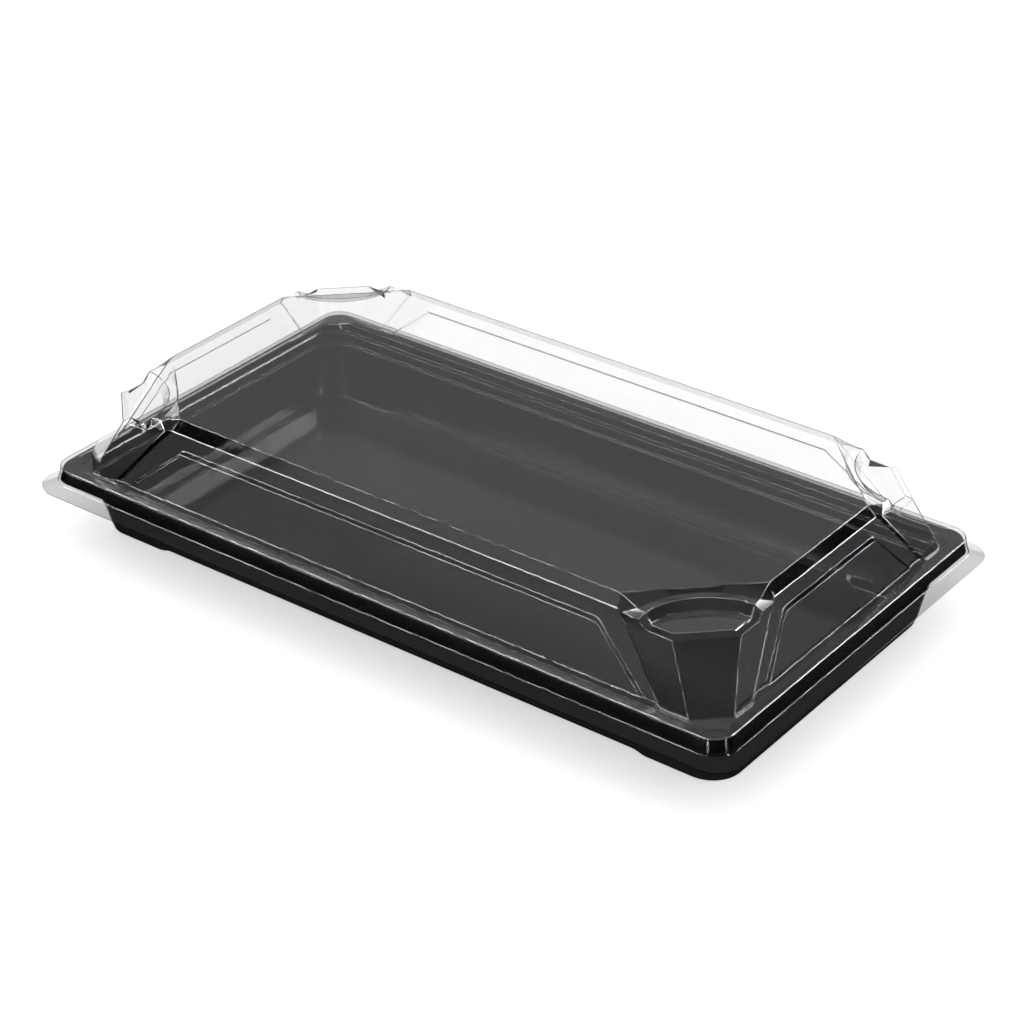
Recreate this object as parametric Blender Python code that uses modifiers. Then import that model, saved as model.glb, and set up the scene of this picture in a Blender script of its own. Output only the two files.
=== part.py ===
"""Takeaway sushi tray: a black thermoformed tray with its clear push-fit lid.

Two thin formed sheets.  Each one is a single skin, laid out from named
insets and heights, then thickened.  Metres, +Z up, long side along X,
the origin on the table under the middle of the tray.
"""
import math

import bmesh
import bpy

MM = 0.001

# ---- plan of the lid's flange, measured at its outer edge (mm) ----
HALF_L = 130.0
HALF_W = 74.8

# ---- lid: (inset from the flange edge, height above the table, corner radius) ----
FLANGE_EDGE = (0.0, 18.4, 9.0)
FLANGE_FOLD = (3.95, 20.23, 7.6)
RIM_EDGE = (5.07, 25.19, 6.8)
RIM_STEP = (8.32, 25.47)
WALL_FOOT = (10.27, 26.02)
WALL_TOP = (16.3, 46.68)
ROOF_EDGE = (18.6, 50.3)
LID_SHEET = 0.40

# ---- shallow trapezoid panel standing proud of each wall ----
PANEL_PROUD = 0.6
PANEL_LIP = 0.7
PANEL_TOP_Z = 41.7
PANEL_HALF = {"long": (76.5, 95.5), "short": (23.5, 38.5)}

# ---- corner pillars, from the corner where the two flank planes meet ----
FLANK_FOOT = (9.53, 25.25)
FLANK_TOP = (14.66, 44.4)
FLANK_CREST = (15.17, 46.6)
FRONT_LEG_FOOT = 9.1
FRONT_LEG_TOP = 13.6
FLANK_END_FOOT = 18.2
STEP_LOW_END = 22.1
STEP_HIGH_END = 24.4
FLANK_END_TOP = 30.2
SIDE_LEAN = 1.3
RIM_STEP_CHAMFER = 6.2

# ---- stepped, hollowed head of each pillar (radii about the crest corner) ----
LOW_LEDGE_Z = 45.3
HIGH_LEDGE_Z = 48.4
LEDGE_BEVEL = 1.8
LOW_RISER_FOOT_R = 21.8
LOW_RISER_TOP_R = 23.6
HIGH_RISER_FOOT_R = 26.2
ROOF_CHAMFER_LEG = 29.8
ROOF_CHAMFER_START = 31.1

# ---- black tray: (inset of long side, inset of short side, upper face's z, corner radius) ----
TRAY_SHEET = 0.45
TRAY_RINGS = (
    (4.95, 4.95, 20.7, 6.6),
    (5.95, 5.95, 24.25, 6.2),
    (11.1, 7.5, 24.3, 8.0),
    (11.6, 8.0, 21.7, 8.0),
    (12.9, 8.6, 21.2, 9.0),
    (13.6, 9.1, 17.9, 10.0),
    (17.2, 11.6, 3.2, 10.0),
)
CHANNEL_OUTER = (18.1, 12.4, 9.4)
CHANNEL_INNER = (20.4, 14.6, 8.6)
FLOOR_EDGE = (22.0, 18.7, 2.3, 7.0)
FOOT_Z = TRAY_SHEET
BETWEEN_FEET_Z = 1.55
FOOT_END_X = 92.5
FOOT_RAMP = 4.4

ARC_STEPS = 8


def clear_scene():
    for item in list(bpy.data.objects):
        bpy.data.objects.remove(item, do_unlink=True)


def new_collection(name):
    found = bpy.data.collections.new(name)
    bpy.context.scene.collection.children.link(found)
    return found


def plastic(name, colour, rough, clear):
    mat = bpy.data.materials.new(name)
    mat.use_nodes = True
    shader = mat.node_tree.nodes["Principled BSDF"]
    shader.inputs["Base Color"].default_value = colour
    shader.inputs["Roughness"].default_value = rough
    shader.inputs["Transmission Weight"].default_value = clear
    shader.inputs["IOR"].default_value = 1.57
    return mat


def mix(a, b, t):
    return tuple(p + (q - p) * t for p, q in zip(a, b))


def inset_at(low, high, z):
    """Inset of a straight sloping face at height z, from two (inset, z) points."""
    return low[0] + (high[0] - low[0]) * (z - low[1]) / (high[1] - low[1])


# ---------------------------------------------------------------- surfaces
class Skin:
    """One quarter of a sheet, laid as lofts between rows of points (mm)."""

    def __init__(self):
        self.mesh = bmesh.new()

    def loft(self, first, second):
        for k in range(len(first) - 1):
            self.face([first[k], first[k + 1], second[k + 1], second[k]])

    def face(self, ring):
        kept = []
        for point in ring:
            if not kept or math.dist(point, kept[-1]) > 1e-4:
                kept.append(point)
        if math.dist(kept[0], kept[-1]) < 1e-4:
            kept.pop()
        corners = [self.mesh.verts.new((x * MM, y * MM, z * MM)) for x, y, z in kept]
        self.mesh.faces.new(corners)

    def finish(self, name, sheet, mat, home):
        """Weld the quarter, mirror it to the whole and thicken it downwards."""
        bmesh.ops.remove_doubles(self.mesh, verts=self.mesh.verts, dist=1e-7)
        bmesh.ops.recalc_face_normals(self.mesh, faces=self.mesh.faces)
        widest = max(self.mesh.faces, key=lambda f: f.calc_area())
        if widest.normal.z < 0:
            bmesh.ops.reverse_faces(self.mesh, faces=self.mesh.faces)
        data = bpy.data.meshes.new(name)
        self.mesh.to_mesh(data)
        self.mesh.free()
        data.materials.append(mat)
        thing = bpy.data.objects.new(name, data)
        home.objects.link(thing)
        quarter = thing.modifiers.new("four quarters", "MIRROR")
        quarter.use_axis = (True, True, False)
        quarter.use_mirror_merge = True
        quarter.merge_threshold = 0.00001
        wall = thing.modifiers.new("sheet", "SOLIDIFY")
        wall.thickness = sheet * MM
        wall.offset = -1.0
        wall.use_even_offset = True
        wall.use_rim = True
        return thing


# ---------------------------------------------------------------- lid
def from_crest(u, v, z):
    """A point given inward from the crest corner of a pillar."""
    return (HALF_L - FLANK_CREST[0] - u, HALF_W - FLANK_CREST[0] - v, z)


def both_sides(long_side, middle, short_side):
    return list(long_side) + list(middle) + list(reversed(short_side))


def wall_columns(inset, z, proud, side, ends):
    """Points on one wall from its middle out to the pillar, long or short side."""
    span = HALF_L if side == "long" else HALF_W
    depth = (HALF_W if side == "long" else HALF_L) - inset
    top_half, foot_half = PANEL_HALF[side]
    t = (z - WALL_FOOT[1]) / (PANEL_TOP_Z - WALL_FOOT[1])
    half = foot_half + (top_half - foot_half) * min(max(t, 0.0), 1.0)
    row = [(0.0, depth + proud, z), (half, depth + proud, z),
           (half + PANEL_LIP, depth, z), (span - ends, depth, z)]
    if side == "short":
        row = [(y, x, h) for x, y, h in row]
    return row


def pillar_columns(z):
    """Flank end, the two step columns and the front corner at height z on a flank."""
    t = (z - FLANK_FOOT[1]) / (FLANK_TOP[1] - FLANK_FOOT[1])
    inset = inset_at(FLANK_FOOT, FLANK_TOP, z)
    s = (z - FLANK_FOOT[1]) / (FLANK_CREST[1] - FLANK_FOOT[1])
    end = FLANK_END_FOOT + (FLANK_END_TOP - FLANK_END_FOOT) * s
    leg = FRONT_LEG_FOOT + (FRONT_LEG_TOP - FRONT_LEG_FOOT) * t
    high = leg + (end - leg) * 0.66
    low = leg + (end - leg) * 0.52
    return inset, (end, high, low, leg)


def flank_row(z, crest=False):
    inset, (end, high, low, leg) = pillar_columns(z)
    heights = [z, z, z, z]
    insets = [inset] * 4
    if crest:
        end, high, low, leg = FLANK_END_TOP, STEP_HIGH_END, STEP_LOW_END, FRONT_LEG_TOP
        heights = [FLANK_CREST[1], FLANK_CREST[1], FLANK_TOP[1], FLANK_TOP[1]]
        insets = [FLANK_CREST[0], FLANK_CREST[0], FLANK_TOP[0], FLANK_TOP[0]]
        low += FLANK_CREST[0] - FLANK_TOP[0]
    long_side, short_side = [], []
    for run, h, i in zip((end, high, low, leg), heights, insets):
        long_side.append((HALF_L - i - run, HALF_W - i, h))
        short_side.append((HALF_L - i, HALF_W - i - run, h))
    return long_side, short_side


def straight(a, b, steps):
    return [mix(a, b, k / steps) for k in range(1, steps)]


def arc_about_crest(radius, z, start):
    """Points of a circle about the crest corner, from one flank round to the other."""
    low = math.asin(start / radius)
    row = []
    for k in range(ARC_STEPS + 1):
        angle = low + (math.pi / 2 - 2 * low) * k / ARC_STEPS
        row.append(from_crest(radius * math.cos(angle), radius * math.sin(angle), z))
    return row


def rounded_row(inset, z, radius, matches):
    """A rounded-corner ring; straight columns keep the x (or y) of the row inside it."""
    cx, cy = HALF_L - inset - radius, HALF_W - inset - radius
    row = []
    count = len(matches)
    arc_from = (count - ARC_STEPS - 1) // 2
    for k, point in enumerate(matches):
        if k < arc_from:
            share = k / arc_from
            x = min(point[0], cx * (0.2 + 0.8 * share))
            row.append((x, HALF_W - inset, z))
        elif k > arc_from + ARC_STEPS:
            share = (count - 1 - k) / arc_from
            y = min(point[1], cy * (0.2 + 0.8 * share))
            row.append((HALF_L - inset, y, z))
        else:
            angle = math.pi / 2 * (1 - (k - arc_from) / ARC_STEPS)
            row.append((cx + radius * math.cos(angle), cy + radius * math.sin(angle), z))
    return row


def chamfered_row(inset, z, leg, matches):
    """A ring with a straight 45-degree corner, columns matched to the row inside it."""
    count = len(matches)
    arc_from = (count - ARC_STEPS - 1) // 2
    a = (HALF_L - inset - leg, HALF_W - inset, z)
    b = (HALF_L - inset, HALF_W - inset - leg, z)
    row = []
    for k, point in enumerate(matches):
        if k < arc_from:
            row.append((min(point[0], a[0] - 1.2 * (arc_from - k)), a[1], z))
        elif k > arc_from + ARC_STEPS:
            row.append((b[0], min(point[1], b[1] - 1.2 * (k - arc_from - ARC_STEPS)), z))
        else:
            row.append(mix(a, b, (k - arc_from) / ARC_STEPS))
    return row


def build_lid(home, mat):
    skin = Skin()

    # full rows round the quarter, foot of the walls up to the crest of the pillars
    rows = []
    levels = (WALL_FOOT[1], PANEL_TOP_Z - 0.5, PANEL_TOP_Z + 0.5, WALL_TOP[1])
    prouds = (PANEL_PROUD, PANEL_PROUD, 0.0, 0.0)
    for k, (z, proud) in enumerate(zip(levels, prouds)):
        inset = inset_at(WALL_FOOT, WALL_TOP, z)
        s = (z - FLANK_FOOT[1]) / (FLANK_CREST[1] - FLANK_FOOT[1])
        flank_inset = inset_at(FLANK_FOOT, FLANK_TOP, z)
        ends = flank_inset + FLANK_END_FOOT + (FLANK_END_TOP - FLANK_END_FOOT) * s + SIDE_LEAN
        if k == 3:
            ends = WALL_TOP[0] + ROOF_CHAMFER_START
        long_wall = wall_columns(inset, z, proud, "long", ends)
        short_wall = wall_columns(inset, z, proud, "short", ends)
        on_flank = FLANK_FOOT[1] if k == 0 else z
        long_flank, short_flank = flank_row(on_flank, crest=(k == 3))
        front = straight(long_flank[3], short_flank[3], ARC_STEPS)
        rows.append(both_sides(long_wall + long_flank, front, short_wall + short_flank))

    step = chamfered_row(RIM_STEP[0], RIM_STEP[1], RIM_STEP_CHAMFER, rows[0])
    outer = [rounded_row(*ring, rows[0]) for ring in (FLANGE_EDGE, FLANGE_FOLD, RIM_EDGE)]
    stack = outer + [step] + rows
    for first, second in zip(stack, stack[1:]):
        skin.loft(first, second)

    # roof bevel, and the bevelled lip that follows the stepped crest of a pillar
    crest = rows[-1]
    roof_wall = []
    for point in crest[:3]:
        roof_wall.append((point[0], HALF_W - ROOF_EDGE[0], ROOF_EDGE[1]))
    corner_x = HALF_L - ROOF_EDGE[0] - ROOF_CHAMFER_LEG
    roof_wall.append((corner_x, HALF_W - ROOF_EDGE[0], ROOF_EDGE[1]))
    roof_twin = []
    for point in crest[-3:]:
        roof_twin.append((HALF_L - ROOF_EDGE[0], point[1], ROOF_EDGE[1]))
    corner_y = HALF_W - ROOF_EDGE[0] - ROOF_CHAMFER_LEG
    roof_twin.insert(0, (HALF_L - ROOF_EDGE[0], corner_y, ROOF_EDGE[1]))
    skin.loft(crest[:4], roof_wall)
    skin.loft(crest[-4:], roof_twin)

    low_arc = arc_about_crest(LOW_RISER_FOOT_R, LOW_LEDGE_Z, LEDGE_BEVEL)
    mid_arc = arc_about_crest(LOW_RISER_TOP_R, HIGH_LEDGE_Z, LEDGE_BEVEL + 0.2)
    high_arc = arc_about_crest(HIGH_RISER_FOOT_R, HIGH_LEDGE_Z, LEDGE_BEVEL + 0.4)
    front_u = FRONT_LEG_TOP - (FLANK_CREST[0] - FLANK_TOP[0])
    in_a = from_crest(front_u + 0.7, LEDGE_BEVEL, LOW_LEDGE_Z)
    in_b = from_crest(LEDGE_BEVEL, front_u + 0.7, LOW_LEDGE_Z)
    front_inner = [in_a] + straight(in_a, in_b, ARC_STEPS) + [in_b]
    near_a = from_crest(LOW_RISER_FOOT_R - 0.9, LEDGE_BEVEL, LOW_LEDGE_Z)
    near_b = from_crest(LEDGE_BEVEL, LOW_RISER_FOOT_R - 0.9, LOW_LEDGE_Z)

    lip = [high_arc[0], mid_arc[0], near_a] + front_inner + [near_b, mid_arc[-1], high_arc[-1]]
    skin.loft([crest[3], crest[4]], [roof_wall[3], high_arc[0]])
    skin.loft(crest[4:-4], lip)
    skin.loft([crest[-5], crest[-4]], [high_arc[-1], roof_twin[0]])
    skin.face([mid_arc[0], near_a, low_arc[0]])
    skin.face([mid_arc[-1], low_arc[-1], near_b])

    # low ledge, low riser, high ledge, high riser
    ledge_front = [near_a] + front_inner + [near_b]
    spread = [low_arc[0]] + low_arc + [low_arc[-1]]
    skin.loft(ledge_front, spread)
    skin.loft(low_arc, mid_arc)
    skin.loft(mid_arc, high_arc)
    chamfer = [roof_wall[3]] + straight(roof_wall[3], roof_twin[0], ARC_STEPS) + [roof_twin[0]]
    skin.loft(high_arc, chamfer)

    # flat roof
    centre = (0.0, 0.0, ROOF_EDGE[1])
    edge = roof_wall + chamfer[1:-1] + roof_twin
    skin.face(edge + [(HALF_L - ROOF_EDGE[0], 0.0, ROOF_EDGE[1]), centre,
                      (0.0, HALF_W - ROOF_EDGE[0], ROOF_EDGE[1])])
    return skin.finish("lid", LID_SHEET, mat, home)


# ---------------------------------------------------------------- tray
def tray_ring(long_inset, short_inset, radius, height):
    """A rounded ring; height(x) gives the z of a point of its long side."""
    cx, cy = HALF_L - short_inset - radius, HALF_W - long_inset - radius
    row = []
    for x in (0.0, FOOT_END_X - FOOT_RAMP, FOOT_END_X):
        row.append((x, HALF_W - long_inset, height(x)))
    for k in range(ARC_STEPS + 1):
        angle = math.pi / 2 * (1 - k / ARC_STEPS)
        x, y = cx + radius * math.cos(angle), cy + radius * math.sin(angle)
        row.append((x, y, height(x)))
    row.append((HALF_L - short_inset, 0.0, height(HALF_L)))
    return row


def channel_height(x):
    """The channel under each long side is raised between its two feet."""
    return BETWEEN_FEET_Z if x < FOOT_END_X - 0.5 * FOOT_RAMP else FOOT_Z


def build_tray(home, mat):
    skin = Skin()
    rings = []
    for long_inset, short_inset, z, radius in TRAY_RINGS:
        rings.append(tray_ring(long_inset, short_inset, radius, lambda x, z=z: z))
    rings.append(tray_ring(*CHANNEL_OUTER, channel_height))
    rings.append(tray_ring(*CHANNEL_INNER, channel_height))
    long_inset, short_inset, floor_z, radius = FLOOR_EDGE
    rings.append(tray_ring(long_inset, short_inset, radius, lambda x: floor_z))
    for first, second in zip(rings, rings[1:]):
        skin.loft(first, second)
    skin.face(rings[-1] + [(0.0, 0.0, floor_z)])
    return skin.finish("tray", TRAY_SHEET, mat, home)


def main():
    clear_scene()
    home = new_collection("takeaway_sushi_tray")
    black = plastic("black_plastic", (0.012, 0.012, 0.013, 1.0), 0.18, 0.0)
    clear = plastic("clear_plastic", (0.92, 0.94, 0.95, 1.0), 0.03, 1.0)
    build_tray(home, black)
    build_lid(home, clear)


main()
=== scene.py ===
"""Looks of the takeaway sushi tray: a glossy black formed tray under a clear lid.

Both sheets are rebuilt from the same named insets and heights as the solids,
with rounded folds, and stand for the CAD nodes.  Millimetres in the tables,
metres in the scene, +Z up, long side along X.
"""
import math

import bmesh
import bpy
from mathutils import Matrix, Vector


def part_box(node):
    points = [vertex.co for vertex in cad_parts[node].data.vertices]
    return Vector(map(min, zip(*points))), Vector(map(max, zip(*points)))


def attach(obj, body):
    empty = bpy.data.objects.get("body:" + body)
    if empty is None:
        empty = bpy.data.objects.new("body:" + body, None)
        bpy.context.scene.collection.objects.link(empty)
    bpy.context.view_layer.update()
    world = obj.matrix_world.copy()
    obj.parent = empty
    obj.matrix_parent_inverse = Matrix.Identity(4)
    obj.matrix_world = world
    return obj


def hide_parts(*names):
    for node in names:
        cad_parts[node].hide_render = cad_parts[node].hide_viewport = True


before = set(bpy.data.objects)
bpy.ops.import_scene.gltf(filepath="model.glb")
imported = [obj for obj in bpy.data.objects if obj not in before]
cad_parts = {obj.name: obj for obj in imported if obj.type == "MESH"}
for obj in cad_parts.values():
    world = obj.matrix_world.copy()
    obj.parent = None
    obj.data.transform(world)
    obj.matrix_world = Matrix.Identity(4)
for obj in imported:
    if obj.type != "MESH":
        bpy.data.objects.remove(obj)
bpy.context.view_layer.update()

LID_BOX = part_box("lid")
TRAY_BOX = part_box("tray")
MM = 0.001

# ---- plan of the lid's flange and its height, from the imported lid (mm) ----
HALF_L = LID_BOX[1].x / MM
HALF_W = LID_BOX[1].y / MM
LID_TOP = LID_BOX[1].z / MM

# ---- lid: (inset from the flange edge, height above the table, corner radius) ----
FLANGE_EDGE = (0.0, 18.4, 9.0)
FLANGE_FOLD = (3.95, 20.23, 7.6)
RIM_EDGE = (5.07, 25.19, 6.8)
RIM_STEP = (8.32, 25.47)
WALL_FOOT = (10.27, 26.02)
WALL_TOP = (16.3, 46.68)
ROOF_EDGE = (18.6, LID_TOP)
LID_SHEET = 0.38
RIM_ROUND = 0.13
# painted shade: grey base colour on the clear flange, standing in for its shadow and dark
# reflections
FLANGE_PAINTED_SHADE = (0.58, 0.59, 0.595, 1.0)

# ---- shallow trapezoid panel standing proud of each wall ----
PANEL_PROUD = 0.6
PANEL_LIP = 0.9
PANEL_TOP_Z = 41.7
PANEL_HALF = {"long": (76.5, 95.5), "short": (23.5, 38.5)}

# ---- corner pillars, from the corner where the two flank planes meet ----
FLANK_FOOT = (9.53, 25.25)
FLANK_TOP = (14.66, 44.4)
FLANK_CREST = (15.17, 46.6)
FRONT_LEG_FOOT = 9.1
FRONT_LEG_TOP = 13.6
FLANK_END_FOOT = 18.2
STEP_LOW_END = 22.1
STEP_HIGH_END = 24.4
FLANK_END_TOP = 30.2
SIDE_LEAN = 1.3
RIM_STEP_CHAMFER = 6.2

# ---- stepped, hollowed head of each pillar (radii about the crest corner) ----
LOW_LEDGE_Z = 45.3
HIGH_LEDGE_Z = 48.4
LEDGE_BEVEL = 1.8
LOW_RISER_FOOT_R = 21.8
LOW_RISER_TOP_R = 23.6
HIGH_RISER_FOOT_R = 26.2
ROOF_CHAMFER_LEG = 29.8
ROOF_CHAMFER_START = 31.1

# ---- how the lid's folds are rounded ----
ARC_STEPS = 24
FLAT_WITHIN = math.radians(0.4)
FOLD_FROM = math.radians(7.0)
FOLD_WIDTH = 0.42
FOLD_STEPS = 3

# ---- black tray: (long side's inset, short side's inset, upper face's z, radius, fillet) ----
TRAY_SHEET = 0.45
TRAY_PROFILE = (
    (4.95, 4.95, 20.7, 6.6, 0.0),
    (5.95, 5.95, 24.25, 6.2, 0.6),
    (11.1, 7.5, 24.3, 8.0, 0.5),
    (11.6, 8.0, 21.7, 8.0, 0.4),
    (12.9, 8.6, 21.2, 9.0, 0.4),
    (13.1, 8.8, 18.2, 9.6, 0.3),
    (14.0, 9.6, 17.7, 10.0, 0.4),
    (17.2, 11.6, 3.2, 10.0, 1.0),
    (18.1, 12.4, 0.46, 9.4, 0.7),
    (20.4, 14.6, 0.46, 8.6, 0.7),
    (22.0, 18.7, 2.3, 7.0, 0.4),
    (24.5, 21.0, 2.3, 6.0, 0.0),
)
FLOOR_Z = 2.3
FOOT_Z = 0.46
BETWEEN_FEET_Z = 1.55
FOOT_END_X = 92.5
FOOT_RAMP = 4.4
RAMP_STEPS = 8
FILLET_STEPS = 5
TRAY_ARC_STEPS = 20

# ---- camera: where it stands and looks, worked out from the object's frame ----
VIEW_AZ = math.radians(36.548)
VIEW_EL = math.radians(30.4465)
VIEW_ROLL = math.radians(0.469)
VIEW_DISTANCE = 0.89184
VIEW_ASIDE = 0.002275
VIEW_ABOVE = 0.001833
VIEW_TARGET_Z = 0.0184
LENS = 101.71
SENSOR = 36.0

# ---- studio: the white surround, and what the glossy sheets mirror instead ----
SKY = 0.95
FLOOR_GLOW = 0.50
DIM = 0.14
# (towards, inner angle, outer angle, strength) of each soft round light
ROUND_LIGHTS = (
    ((-0.57, 0.66, 0.48), 12.0, 34.0, 0.22),
)
# (azimuth from -Y towards -X, elevation, half width, half height, strength), angles in degrees
PANEL_LIGHTS = (
    (28.0, 23.0, 10.0, 8.0, 0.42),
    (30.0, -1.5, 13.0, 5.5, 0.26),
    (-140.0, -10.0, 14.0, 6.0, 0.19),
    (142.0, -15.0, 32.0, 27.0, 1.15),
)
# (towards, along, half length, half width, strength) of each strip light, angles in degrees
STRIP_LIGHTS = (
    ((-0.530, -0.290, 0.797), (1.0, 0.0, 0.0), 22.0, 5.0, 36.0),
    ((-0.530, -0.829, 0.176), (1.0, 0.0, 0.0), 22.0, 2.8, 44.0),
    ((0.370, 0.740, 0.570), (0.0, 1.0, 0.0), 18.0, 4.5, 26.0),
    ((0.668, 0.743, -0.029), (0.0, 1.0, 0.0), 18.0, 2.2, 40.0),
    ((0.180, -0.982, 0.100), (0.0, 0.0, 1.0), 10.5, 3.0, 36.0),
    ((0.990, 0.050, 0.100), (0.0, 0.0, 1.0), 10.5, 3.0, 36.0),
)
LIGHT_BLUR = 2.5


# ---------------------------------------------------------------- helpers
def mix(a, b, t):
    return tuple(p + (q - p) * t for p, q in zip(a, b))


def inset_at(low, high, z):
    """Inset of a straight sloping face at height z, from two (inset, z) points."""
    return low[0] + (high[0] - low[0]) * (z - low[1]) / (high[1] - low[1])


def smoothstep(t):
    t = min(max(t, 0.0), 1.0)
    return t * t * (3.0 - 2.0 * t)


class Skin:
    """One quarter of a sheet, laid as lofts between rows of points (mm)."""

    def __init__(self):
        self.mesh = bmesh.new()

    def loft(self, first, second):
        for k in range(len(first) - 1):
            self.face([first[k], first[k + 1], second[k + 1], second[k]])

    def face(self, ring):
        kept = []
        for point in ring:
            if not kept or math.dist(point, kept[-1]) > 1e-4:
                kept.append(point)
        if math.dist(kept[0], kept[-1]) < 1e-4:
            kept.pop()
        corners = [self.mesh.verts.new((x * MM, y * MM, z * MM)) for x, y, z in kept]
        self.mesh.faces.new(corners)

    def whole(self):
        """Weld the quarter and mirror it across both middle planes."""
        mesh = self.mesh
        bmesh.ops.remove_doubles(mesh, verts=mesh.verts, dist=1e-7)
        for axis in (0, 1):
            copied = bmesh.ops.duplicate(mesh, geom=mesh.verts[:] + mesh.edges[:] + mesh.faces[:])
            for item in copied["geom"]:
                if isinstance(item, bmesh.types.BMVert):
                    item.co[axis] = -item.co[axis]
            bmesh.ops.remove_doubles(mesh, verts=mesh.verts, dist=1e-6)
        bmesh.ops.recalc_face_normals(mesh, faces=mesh.faces)
        widest = max(mesh.faces, key=lambda f: f.calc_area())
        if widest.normal.z < 0:
            bmesh.ops.reverse_faces(mesh, faces=mesh.faces)

    def round_folds(self):
        """Clear away flat seams, then round every fold."""
        mesh = self.mesh
        bmesh.ops.dissolve_limit(mesh, angle_limit=FLAT_WITHIN, verts=mesh.verts, edges=mesh.edges)
        folds = [e for e in mesh.edges if len(e.link_faces) == 2
                 and e.calc_face_angle(0.0) > FOLD_FROM]
        bmesh.ops.bevel(mesh, geom=folds, offset=FOLD_WIDTH * MM, offset_type="OFFSET",
                        segments=FOLD_STEPS, profile=0.5, affect="EDGES", clamp_overlap=True,
                        miter_outer="SHARP", miter_inner="SHARP")

    @staticmethod
    def round_free_edge(shape):
        """Round the cut edge that runs round the outside of a sheet."""
        mesh = bmesh.new()
        mesh.from_mesh(shape)
        cut = [e for e in mesh.edges if e.calc_face_angle(0.0) > math.radians(75.0)]
        bmesh.ops.bevel(mesh, geom=cut, offset=RIM_ROUND * MM, offset_type="OFFSET",
                        segments=3, profile=0.5, affect="EDGES", clamp_overlap=True)
        mesh.to_mesh(shape)
        mesh.free()

    def thicken(self, name, sheet, mat):
        """A closed sheet with smooth shading, flat faces kept flat."""
        data = bpy.data.meshes.new(name)
        self.mesh.to_mesh(data)
        self.mesh.free()
        data.materials.append(mat)
        thing = bpy.data.objects.new(name, data)
        bpy.context.scene.collection.objects.link(thing)
        wall = thing.modifiers.new("sheet", "SOLIDIFY")
        wall.thickness = sheet * MM
        wall.offset = -1.0
        wall.use_even_offset = True
        wall.use_rim = True
        bpy.context.view_layer.update()
        shape = bpy.data.meshes.new_from_object(thing.evaluated_get(
            bpy.context.evaluated_depsgraph_get()))
        thing.modifiers.clear()
        thing.data = shape
        bpy.data.meshes.remove(data)
        shape.name = name
        self.round_free_edge(shape)
        shape.polygons.foreach_set("use_smooth", [True] * len(shape.polygons))
        shape.set_sharp_from_angle(angle=math.radians(55.0))
        flat = thing.modifiers.new("flat faces stay flat", "WEIGHTED_NORMAL")
        flat.keep_sharp = True
        flat.weight = 60
        return thing


# ---------------------------------------------------------------- lid
def from_crest(u, v, z):
    """A point given inward from the crest corner of a pillar."""
    return (HALF_L - FLANK_CREST[0] - u, HALF_W - FLANK_CREST[0] - v, z)


def both_sides(long_side, middle, short_side):
    return list(long_side) + list(middle) + list(reversed(short_side))


def wall_columns(inset, z, proud, side, ends):
    """Points on one wall from its middle out to the pillar, long or short side."""
    span = HALF_L if side == "long" else HALF_W
    depth = (HALF_W if side == "long" else HALF_L) - inset
    top_half, foot_half = PANEL_HALF[side]
    t = (z - WALL_FOOT[1]) / (PANEL_TOP_Z - WALL_FOOT[1])
    half = foot_half + (top_half - foot_half) * min(max(t, 0.0), 1.0)
    row = [(0.0, depth + proud, z), (half, depth + proud, z),
           (half + PANEL_LIP, depth, z), (span - ends, depth, z)]
    if side == "short":
        row = [(y, x, h) for x, y, h in row]
    return row


def pillar_columns(z):
    """Flank end, the two step columns and the front corner at height z on a flank."""
    t = (z - FLANK_FOOT[1]) / (FLANK_TOP[1] - FLANK_FOOT[1])
    inset = inset_at(FLANK_FOOT, FLANK_TOP, z)
    s = (z - FLANK_FOOT[1]) / (FLANK_CREST[1] - FLANK_FOOT[1])
    end = FLANK_END_FOOT + (FLANK_END_TOP - FLANK_END_FOOT) * s
    leg = FRONT_LEG_FOOT + (FRONT_LEG_TOP - FRONT_LEG_FOOT) * t
    high = leg + (end - leg) * 0.66
    low = leg + (end - leg) * 0.52
    return inset, (end, high, low, leg)


def flank_row(z, crest=False):
    inset, (end, high, low, leg) = pillar_columns(z)
    heights = [z, z, z, z]
    insets = [inset] * 4
    if crest:
        end, high, low, leg = FLANK_END_TOP, STEP_HIGH_END, STEP_LOW_END, FRONT_LEG_TOP
        heights = [FLANK_CREST[1], FLANK_CREST[1], FLANK_TOP[1], FLANK_TOP[1]]
        insets = [FLANK_CREST[0], FLANK_CREST[0], FLANK_TOP[0], FLANK_TOP[0]]
        low += FLANK_CREST[0] - FLANK_TOP[0]
    long_side, short_side = [], []
    for run, h, i in zip((end, high, low, leg), heights, insets):
        long_side.append((HALF_L - i - run, HALF_W - i, h))
        short_side.append((HALF_L - i, HALF_W - i - run, h))
    return long_side, short_side


def straight(a, b, steps):
    return [mix(a, b, k / steps) for k in range(1, steps)]


def arc_about_crest(radius, z, start):
    """Points of a circle about the crest corner, from one flank round to the other."""
    low = math.asin(start / radius)
    row = []
    for k in range(ARC_STEPS + 1):
        angle = low + (math.pi / 2 - 2 * low) * k / ARC_STEPS
        row.append(from_crest(radius * math.cos(angle), radius * math.sin(angle), z))
    return row


def rounded_row(inset, z, radius, matches):
    """A rounded-corner ring; straight columns keep the x (or y) of the row inside it."""
    cx, cy = HALF_L - inset - radius, HALF_W - inset - radius
    row = []
    count = len(matches)
    arc_from = (count - ARC_STEPS - 1) // 2
    for k, point in enumerate(matches):
        if k < arc_from:
            share = k / arc_from
            x = min(point[0], cx * (0.2 + 0.8 * share))
            row.append((x, HALF_W - inset, z))
        elif k > arc_from + ARC_STEPS:
            share = (count - 1 - k) / arc_from
            y = min(point[1], cy * (0.2 + 0.8 * share))
            row.append((HALF_L - inset, y, z))
        else:
            angle = math.pi / 2 * (1 - (k - arc_from) / ARC_STEPS)
            row.append((cx + radius * math.cos(angle), cy + radius * math.sin(angle), z))
    return row


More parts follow.
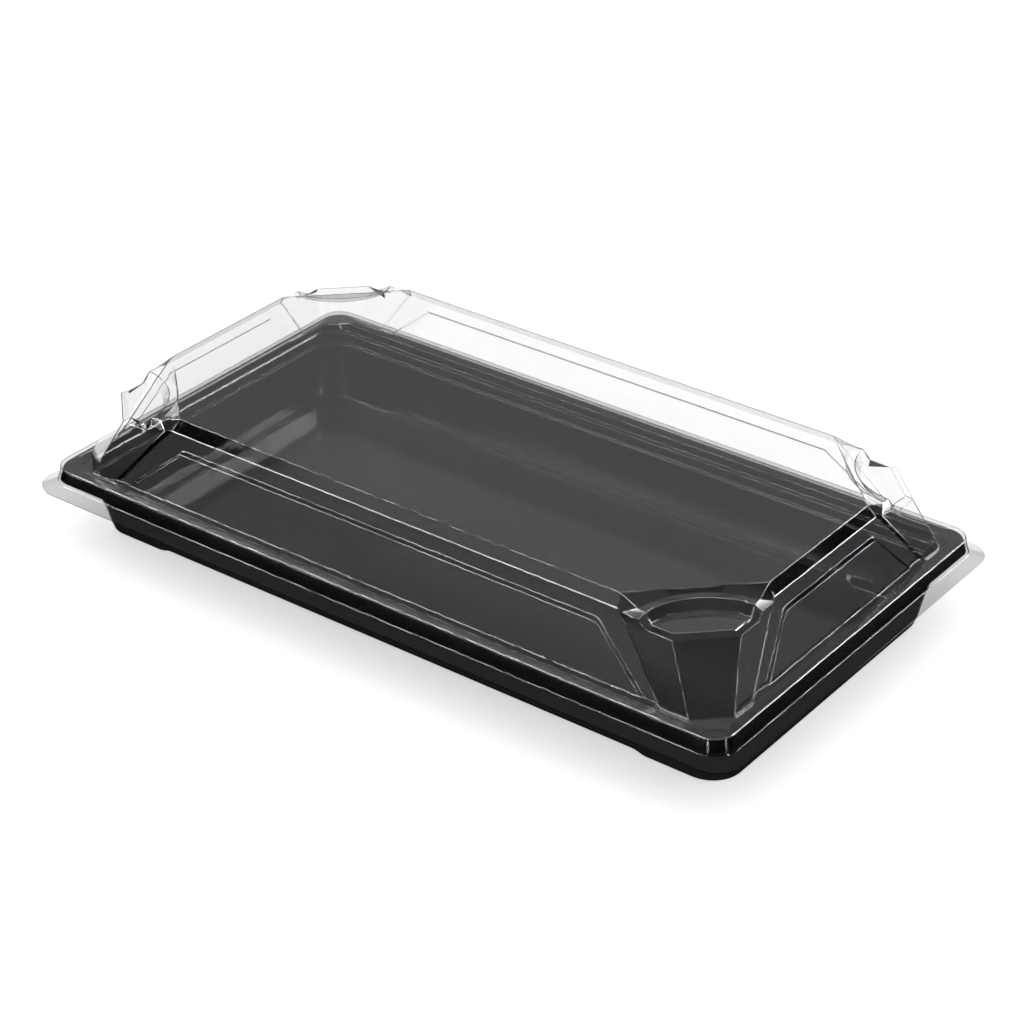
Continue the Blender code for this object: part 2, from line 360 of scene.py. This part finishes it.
def chamfered_row(inset, z, leg, matches):
    """A ring with a straight 45-degree corner, columns matched to the row inside it."""
    count = len(matches)
    arc_from = (count - ARC_STEPS - 1) // 2
    a = (HALF_L - inset - leg, HALF_W - inset, z)
    b = (HALF_L - inset, HALF_W - inset - leg, z)
    row = []
    for k, point in enumerate(matches):
        if k < arc_from:
            row.append((min(point[0], a[0] - 1.2 * (arc_from - k)), a[1], z))
        elif k > arc_from + ARC_STEPS:
            row.append((b[0], min(point[1], b[1] - 1.2 * (k - arc_from - ARC_STEPS)), z))
        else:
            row.append(mix(a, b, (k - arc_from) / ARC_STEPS))
    return row


def build_lid(mat):
    skin = Skin()

    # full rows round the quarter, foot of the walls up to the crest of the pillars
    rows = []
    levels = (WALL_FOOT[1], PANEL_TOP_Z - 0.5, PANEL_TOP_Z + 0.5, WALL_TOP[1])
    prouds = (PANEL_PROUD, PANEL_PROUD, 0.0, 0.0)
    for k, (z, proud) in enumerate(zip(levels, prouds)):
        inset = inset_at(WALL_FOOT, WALL_TOP, z)
        s = (z - FLANK_FOOT[1]) / (FLANK_CREST[1] - FLANK_FOOT[1])
        flank_inset = inset_at(FLANK_FOOT, FLANK_TOP, z)
        ends = flank_inset + FLANK_END_FOOT + (FLANK_END_TOP - FLANK_END_FOOT) * s + SIDE_LEAN
        if k == 3:
            ends = WALL_TOP[0] + ROOF_CHAMFER_START
        long_wall = wall_columns(inset, z, proud, "long", ends)
        short_wall = wall_columns(inset, z, proud, "short", ends)
        on_flank = FLANK_FOOT[1] if k == 0 else z
        long_flank, short_flank = flank_row(on_flank, crest=(k == 3))
        front = straight(long_flank[3], short_flank[3], ARC_STEPS)
        rows.append(both_sides(long_wall + long_flank, front, short_wall + short_flank))

    step = chamfered_row(RIM_STEP[0], RIM_STEP[1], RIM_STEP_CHAMFER, rows[0])
    outer = [rounded_row(*ring, rows[0]) for ring in (FLANGE_EDGE, FLANGE_FOLD, RIM_EDGE)]
    stack = outer + [step] + rows
    for first, second in zip(stack, stack[1:]):
        skin.loft(first, second)

    # roof bevel, and the bevelled lip that follows the stepped crest of a pillar
    crest = rows[-1]
    roof_wall = []
    for point in crest[:3]:
        roof_wall.append((point[0], HALF_W - ROOF_EDGE[0], ROOF_EDGE[1]))
    corner_x = HALF_L - ROOF_EDGE[0] - ROOF_CHAMFER_LEG
    roof_wall.append((corner_x, HALF_W - ROOF_EDGE[0], ROOF_EDGE[1]))
    roof_twin = []
    for point in crest[-3:]:
        roof_twin.append((HALF_L - ROOF_EDGE[0], point[1], ROOF_EDGE[1]))
    corner_y = HALF_W - ROOF_EDGE[0] - ROOF_CHAMFER_LEG
    roof_twin.insert(0, (HALF_L - ROOF_EDGE[0], corner_y, ROOF_EDGE[1]))
    skin.loft(crest[:4], roof_wall)
    skin.loft(crest[-4:], roof_twin)

    low_arc = arc_about_crest(LOW_RISER_FOOT_R, LOW_LEDGE_Z, LEDGE_BEVEL)
    mid_arc = arc_about_crest(LOW_RISER_TOP_R, HIGH_LEDGE_Z, LEDGE_BEVEL + 0.2)
    high_arc = arc_about_crest(HIGH_RISER_FOOT_R, HIGH_LEDGE_Z, LEDGE_BEVEL + 0.4)
    front_u = FRONT_LEG_TOP - (FLANK_CREST[0] - FLANK_TOP[0])
    in_a = from_crest(front_u + 0.7, LEDGE_BEVEL, LOW_LEDGE_Z)
    in_b = from_crest(LEDGE_BEVEL, front_u + 0.7, LOW_LEDGE_Z)
    front_inner = [in_a] + straight(in_a, in_b, ARC_STEPS) + [in_b]
    near_a = from_crest(LOW_RISER_FOOT_R - 0.9, LEDGE_BEVEL, LOW_LEDGE_Z)
    near_b = from_crest(LEDGE_BEVEL, LOW_RISER_FOOT_R - 0.9, LOW_LEDGE_Z)

    lip = [high_arc[0], mid_arc[0], near_a] + front_inner + [near_b, mid_arc[-1], high_arc[-1]]
    skin.loft([crest[3], crest[4]], [roof_wall[3], high_arc[0]])
    skin.loft(crest[4:-4], lip)
    skin.loft([crest[-5], crest[-4]], [high_arc[-1], roof_twin[0]])
    skin.face([mid_arc[0], near_a, low_arc[0]])
    skin.face([mid_arc[-1], low_arc[-1], near_b])

    # low ledge, low riser, high ledge, high riser
    ledge_front = [near_a] + front_inner + [near_b]
    spread = [low_arc[0]] + low_arc + [low_arc[-1]]
    skin.loft(ledge_front, spread)
    skin.loft(low_arc, mid_arc)
    skin.loft(mid_arc, high_arc)
    chamfer = [roof_wall[3]] + straight(roof_wall[3], roof_twin[0], ARC_STEPS) + [roof_twin[0]]
    skin.loft(high_arc, chamfer)

    # flat roof
    centre = (0.0, 0.0, ROOF_EDGE[1])
    edge = roof_wall + chamfer[1:-1] + roof_twin
    skin.face(edge + [(HALF_L - ROOF_EDGE[0], 0.0, ROOF_EDGE[1]), centre,
                      (0.0, HALF_W - ROOF_EDGE[0], ROOF_EDGE[1])])
    skin.whole()
    skin.round_folds()
    return skin.thicken("clear_lid", LID_SHEET, mat)


# ---------------------------------------------------------------- tray
def filleted(profile):
    """(long inset, short inset, z, radius) rows of a profile whose corners are rounded."""
    rows = [profile[0][:4]]
    for before, here, after in zip(profile, profile[1:], profile[2:]):
        back = Vector((before[0] - here[0], before[2] - here[2]))
        on = Vector((after[0] - here[0], after[2] - here[2]))
        reach = here[4] / math.tan(back.angle(on) / 2)
        reach = min(reach, back.length * 0.48, on.length * 0.48)
        start = mix(here[:4], before[:4], reach / back.length)
        end = mix(here[:4], after[:4], reach / on.length)
        for k in range(FILLET_STEPS + 1):
            t = k / FILLET_STEPS
            rows.append(mix(mix(start, here[:4], t), mix(here[:4], end, t), t))
    rows.append(profile[-1][:4])
    return rows


def channel_height(x):
    """The channel round the floor is raised between the two feet of a long side."""
    foot = smoothstep((x - FOOT_END_X + FOOT_RAMP) / FOOT_RAMP)
    return BETWEEN_FEET_Z + (FOOT_Z - BETWEEN_FEET_Z) * foot


def tray_ring(long_inset, short_inset, z, radius):
    """A rounded ring; where it lies below the floor its height follows the channel's."""
    cx, cy = HALF_L - short_inset - radius, HALF_W - long_inset - radius
    plan = [(0.0, HALF_W - long_inset)]
    for k in range(RAMP_STEPS + 1):
        plan.append((FOOT_END_X - FOOT_RAMP * (1 - k / RAMP_STEPS), HALF_W - long_inset))
    for k in range(TRAY_ARC_STEPS + 1):
        angle = math.pi / 2 * (1 - k / TRAY_ARC_STEPS)
        plan.append((cx + radius * math.cos(angle), cy + radius * math.sin(angle)))
    plan.append((HALF_L - short_inset, 0.0))
    sunk = max((FLOOR_Z - z) / (FLOOR_Z - FOOT_Z), 0.0)
    level = max(z, FLOOR_Z)
    return [(x, y, level + (channel_height(x) - FLOOR_Z) * sunk) for x, y in plan]


def build_tray(mat):
    skin = Skin()
    rings = [tray_ring(*row) for row in filleted(TRAY_PROFILE)]
    for first, second in zip(rings, rings[1:]):
        skin.loft(first, second)
    skin.face(rings[-1] + [(0.0, 0.0, FLOOR_Z)])
    skin.whole()
    return skin.thicken("black_tray", TRAY_SHEET, mat)


# ---------------------------------------------------------------- materials
class Nodes:
    """Short calls to build a material's node tree."""

    def __init__(self, name):
        self.material = bpy.data.materials.new(name)
        self.material.use_nodes = True
        self.tree = self.material.node_tree
        self.shader = self.tree.nodes["Principled BSDF"]

    def add(self, kind, **settings):
        node = self.tree.nodes.new(kind)
        for key, value in settings.items():
            if key in node.inputs:
                node.inputs[key].default_value = value
            else:
                setattr(node, key, value)
        return node

    def link(self, source, target):
        self.tree.links.new(source, target)

    def spread(self, source, low, high, out_low, out_high):
        """Map a 0-1 pattern from low..high to out_low..out_high."""
        node = self.add("ShaderNodeMapRange")
        node.inputs["From Min"].default_value = low
        node.inputs["From Max"].default_value = high
        node.inputs["To Min"].default_value = out_low
        node.inputs["To Max"].default_value = out_high
        self.link(source, node.inputs["Value"])
        return node.outputs["Result"]


def clear_plastic():
    """Clear PET with painted shade greying the flange, with faint waves and uneven polish."""
    n = Nodes("clear_plastic")
    n.shader.inputs["Transmission Weight"].default_value = 1.0
    n.shader.inputs["IOR"].default_value = 1.57
    place = n.add("ShaderNodeTexCoord").outputs["Object"]
    parts = n.add("ShaderNodeSeparateXYZ")
    n.link(place, parts.inputs["Vector"])
    # painted shade: the base colour is greyed over the flange and fades to clear up to the rim
    # edge
    flange_shade_fade = n.spread(parts.outputs["Z"], FLANGE_FOLD[1] * MM, RIM_EDGE[1] * MM, 0.0, 1.0)
    flange_shade_ramp = n.add("ShaderNodeValToRGB")
    flange_shade_ramp.color_ramp.elements[0].color = FLANGE_PAINTED_SHADE
    flange_shade_ramp.color_ramp.elements[1].color = (1.0, 1.0, 1.0, 1.0)
    n.link(flange_shade_fade, flange_shade_ramp.inputs["Fac"])
    n.link(flange_shade_ramp.outputs["Color"], n.shader.inputs["Base Color"])
    polish = n.add("ShaderNodeTexNoise")
    polish.inputs["Scale"].default_value = 90.0
    polish.inputs["Detail"].default_value = 3.0
    n.link(place, polish.inputs["Vector"])
    n.link(n.spread(polish.outputs["Fac"], 0.3, 0.7, 0.008, 0.03), n.shader.inputs["Roughness"])
    waves = n.add("ShaderNodeTexNoise")
    waves.inputs["Scale"].default_value = 28.0
    waves.inputs["Detail"].default_value = 1.0
    n.link(place, waves.inputs["Vector"])
    bump = n.add("ShaderNodeBump")
    bump.inputs["Strength"].default_value = 0.08
    bump.inputs["Distance"].default_value = 0.0002
    n.link(waves.outputs["Fac"], bump.inputs["Height"])
    n.link(bump.outputs["Normal"], n.shader.inputs["Normal"])
    return n.material


def black_plastic():
    """Glossy black polystyrene with uneven polish and faint forming waves."""
    n = Nodes("black_plastic")
    n.shader.inputs["IOR"].default_value = 1.55
    n.shader.inputs["Specular IOR Level"].default_value = 0.28
    place = n.add("ShaderNodeTexCoord").outputs["Object"]
    tone = n.add("ShaderNodeTexNoise")
    tone.inputs["Scale"].default_value = 14.0
    tone.inputs["Detail"].default_value = 4.0
    n.link(place, tone.inputs["Vector"])
    ramp = n.add("ShaderNodeValToRGB")
    ramp.color_ramp.elements[0].position = 0.35
    ramp.color_ramp.elements[0].color = (0.0085, 0.0085, 0.009, 1.0)
    ramp.color_ramp.elements[1].position = 0.65
    ramp.color_ramp.elements[1].color = (0.0125, 0.0125, 0.013, 1.0)
    n.link(tone.outputs["Fac"], ramp.inputs["Fac"])
    n.link(ramp.outputs["Color"], n.shader.inputs["Base Color"])
    polish = n.add("ShaderNodeTexNoise")
    polish.inputs["Scale"].default_value = 240.0
    polish.inputs["Detail"].default_value = 5.0
    n.link(place, polish.inputs["Vector"])
    n.link(n.spread(polish.outputs["Fac"], 0.3, 0.7, 0.07, 0.13), n.shader.inputs["Roughness"])
    grain = n.add("ShaderNodeTexNoise")
    grain.inputs["Scale"].default_value = 900.0
    grain.inputs["Detail"].default_value = 3.0
    n.link(place, grain.inputs["Vector"])
    bump = n.add("ShaderNodeBump")
    bump.inputs["Strength"].default_value = 0.12
    bump.inputs["Distance"].default_value = 0.00005
    n.link(grain.outputs["Fac"], bump.inputs["Height"])
    n.link(bump.outputs["Normal"], n.shader.inputs["Normal"])
    return n.material


def floor_paint():
    """Pale matt floor.  Reflections leave it out, so that they show the studio instead."""
    n = Nodes("pale_floor")
    n.shader.inputs["Roughness"].default_value = 0.9
    n.shader.inputs["Specular IOR Level"].default_value = 0.1
    place = n.add("ShaderNodeTexCoord").outputs["Object"]
    cloud = n.add("ShaderNodeTexNoise")
    cloud.inputs["Scale"].default_value = 5.0
    n.link(place, cloud.inputs["Vector"])
    ramp = n.add("ShaderNodeValToRGB")
    ramp.color_ramp.elements[0].color = (0.86, 0.86, 0.86, 1.0)
    ramp.color_ramp.elements[1].color = (0.88, 0.88, 0.88, 1.0)
    n.link(cloud.outputs["Fac"], ramp.inputs["Fac"])
    n.link(ramp.outputs["Color"], n.shader.inputs["Base Color"])
    n.shader.inputs["Emission Color"].default_value = (1.0, 1.0, 1.0, 1.0)
    n.shader.inputs["Emission Strength"].default_value = FLOOR_GLOW
    unseen = n.add("ShaderNodeBsdfTransparent")
    choose = n.add("ShaderNodeMixShader")
    n.link(in_reflection(n.tree), choose.inputs[0])
    n.link(n.shader.outputs["BSDF"], choose.inputs[1])
    n.link(unseen.outputs["BSDF"], choose.inputs[2])
    n.link(choose.outputs["Shader"], n.tree.nodes["Material Output"].inputs["Surface"])
    return n.material


# ---------------------------------------------------------------- studio
def build_floor():
    mesh = bmesh.new()
    bmesh.ops.create_grid(mesh, x_segments=8, y_segments=8, size=3.0)
    data = bpy.data.meshes.new("floor")
    mesh.to_mesh(data)
    mesh.free()
    paint = floor_paint()
    paint.cycles.emission_sampling = "NONE"
    data.materials.append(paint)
    floor = bpy.data.objects.new("floor", data)
    floor.location.z = -0.00003
    bpy.context.scene.collection.objects.link(floor)
    return floor


def in_reflection(tree):
    """1 for light that has been mirrored by the object, else 0."""
    path = tree.nodes.new("ShaderNodeLightPath")
    over = tree.nodes.new("ShaderNodeMath")
    over.operation = "GREATER_THAN"
    over.inputs[1].default_value = 0.5
    tree.links.new(path.outputs["Glossy Depth"], over.inputs[0])
    return over.outputs["Value"]


def along_axis(tree, direction, axis):
    """How far a direction of the sky points along an axis."""
    dot = tree.nodes.new("ShaderNodeVectorMath")
    dot.operation = "DOT_PRODUCT"
    dot.inputs[1].default_value = axis
    tree.links.new(direction, dot.inputs[0])
    return dot.outputs["Value"]


def fade(tree, value, dark, bright, strength):
    """Smooth step from nothing at one value to the full strength at another."""
    node = tree.nodes.new("ShaderNodeMapRange")
    node.interpolation_type = "SMOOTHSTEP"
    node.inputs["From Min"].default_value = dark
    node.inputs["From Max"].default_value = bright
    node.inputs["To Max"].default_value = strength
    tree.links.new(value, node.inputs["Value"])
    return node.outputs["Result"]


def maths(tree, operation, first, second=None):
    node = tree.nodes.new("ShaderNodeMath")
    node.operation = operation
    tree.links.new(first, node.inputs[0])
    if second is not None:
        tree.links.new(second, node.inputs[1])
    return node.outputs["Value"]


def round_light(tree, direction, towards, inner, outer, strength):
    """Brightness of a soft round light seen in one direction of the sky."""
    near = along_axis(tree, direction, Vector(towards).normalized())
    return fade(tree, near, math.cos(math.radians(outer)), math.cos(math.radians(inner)), strength)


def long_light(tree, direction, aim, along, half_length, half_width, strength):
    """Brightness of a rectangular light seen in one direction of the sky."""
    across = aim.cross(Vector(along)).normalized()
    glow = fade(tree, along_axis(tree, direction, aim), 0.5, 0.6, strength)
    for axis, half in ((across.cross(aim), half_length), (across, half_width)):
        off = maths(tree, "ABSOLUTE", along_axis(tree, direction, axis))
        edge = math.sin(math.radians(half + LIGHT_BLUR * 0.5))
        core = math.sin(math.radians(half - LIGHT_BLUR * 0.5))
        glow = maths(tree, "MULTIPLY", glow, fade(tree, off, edge, core, 1.0))
    return glow


def strip_light(tree, direction, towards, along, half_length, half_width, strength):
    aim = Vector(towards).normalized()
    return long_light(tree, direction, aim, along, half_length, half_width, strength)


def panel_light(tree, direction, azimuth, elevation, half_width, half_height, strength):
    az, el = math.radians(azimuth), math.radians(elevation)
    aim = Vector((-math.sin(az) * math.cos(el), -math.cos(az) * math.cos(el), math.sin(el)))
    return long_light(tree, direction, aim, (0.0, 0.0, 1.0), half_height, half_width, strength)


def build_world():
    """White all round for the floor and for light through the lid; lights in reflections."""
    world = bpy.data.worlds.new("studio")
    bpy.context.scene.world = world
    world.cycles.sampling_method = "NONE"
    world.use_nodes = True
    tree = world.node_tree
    white = tree.nodes["Background"]
    white.inputs["Color"].default_value = (1.0, 1.0, 1.0, 1.0)
    white.inputs["Strength"].default_value = SKY
    place = tree.nodes.new("ShaderNodeTexCoord").outputs["Generated"]
    total = fade(tree, along_axis(tree, place, (0.0, 0.0, 1.0)), 0.3, 0.6, DIM)
    for light in ROUND_LIGHTS:
        total = maths(tree, "ADD", total, round_light(tree, place, *light))
    for light in PANEL_LIGHTS:
        total = maths(tree, "ADD", total, panel_light(tree, place, *light))
    for light in STRIP_LIGHTS:
        total = maths(tree, "ADD", total, strip_light(tree, place, *light))
    studio = tree.nodes.new("ShaderNodeBackground")
    studio.inputs["Color"].default_value = (1.0, 1.0, 1.0, 1.0)
    tree.links.new(total, studio.inputs["Strength"])
    choose = tree.nodes.new("ShaderNodeMixShader")
    tree.links.new(in_reflection(tree), choose.inputs[0])
    tree.links.new(white.outputs["Background"], choose.inputs[1])
    tree.links.new(studio.outputs["Background"], choose.inputs[2])
    tree.links.new(choose.outputs["Shader"], tree.nodes["World Output"].inputs["Surface"])


def build_camera():
    az, el, roll = VIEW_AZ, VIEW_EL, VIEW_ROLL
    ahead = Vector((-math.sin(az) * math.cos(el), math.cos(az) * math.cos(el), -math.sin(el)))
    right = Vector((math.cos(az), math.sin(az), 0.0))
    up = right.cross(ahead)
    aside = math.cos(roll) * right + math.sin(roll) * up
    above = -math.sin(roll) * right + math.cos(roll) * up
    place = -ahead * VIEW_DISTANCE + right * VIEW_ASIDE + up * VIEW_ABOVE
    place.z += VIEW_TARGET_Z
    data = bpy.data.cameras.new("camera")
    data.lens = LENS
    data.sensor_width = SENSOR
    camera = bpy.data.objects.new("camera", data)
    turn = Matrix((aside, above, -ahead)).transposed()
    camera.matrix_world = Matrix.Translation(place) @ turn.to_4x4()
    bpy.context.scene.collection.objects.link(camera)
    bpy.context.scene.camera = camera


def set_view():
    scene = bpy.context.scene
    scene.view_settings.view_transform = "Standard"
    scene.view_settings.look = "None"
    scene.cycles.max_bounces = 16
    scene.cycles.transmission_bounces = 16
    scene.cycles.glossy_bounces = 8
    scene.cycles.transparent_max_bounces = 16


lid = build_lid(clear_plastic())
tray = build_tray(black_plastic())
for piece, node, slot in ((lid, "lid", "clear_plastic"), (tray, "tray", "black_plastic")):
    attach(piece, "root")
    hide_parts(node)

build_floor()
build_world()
build_camera()
set_view()
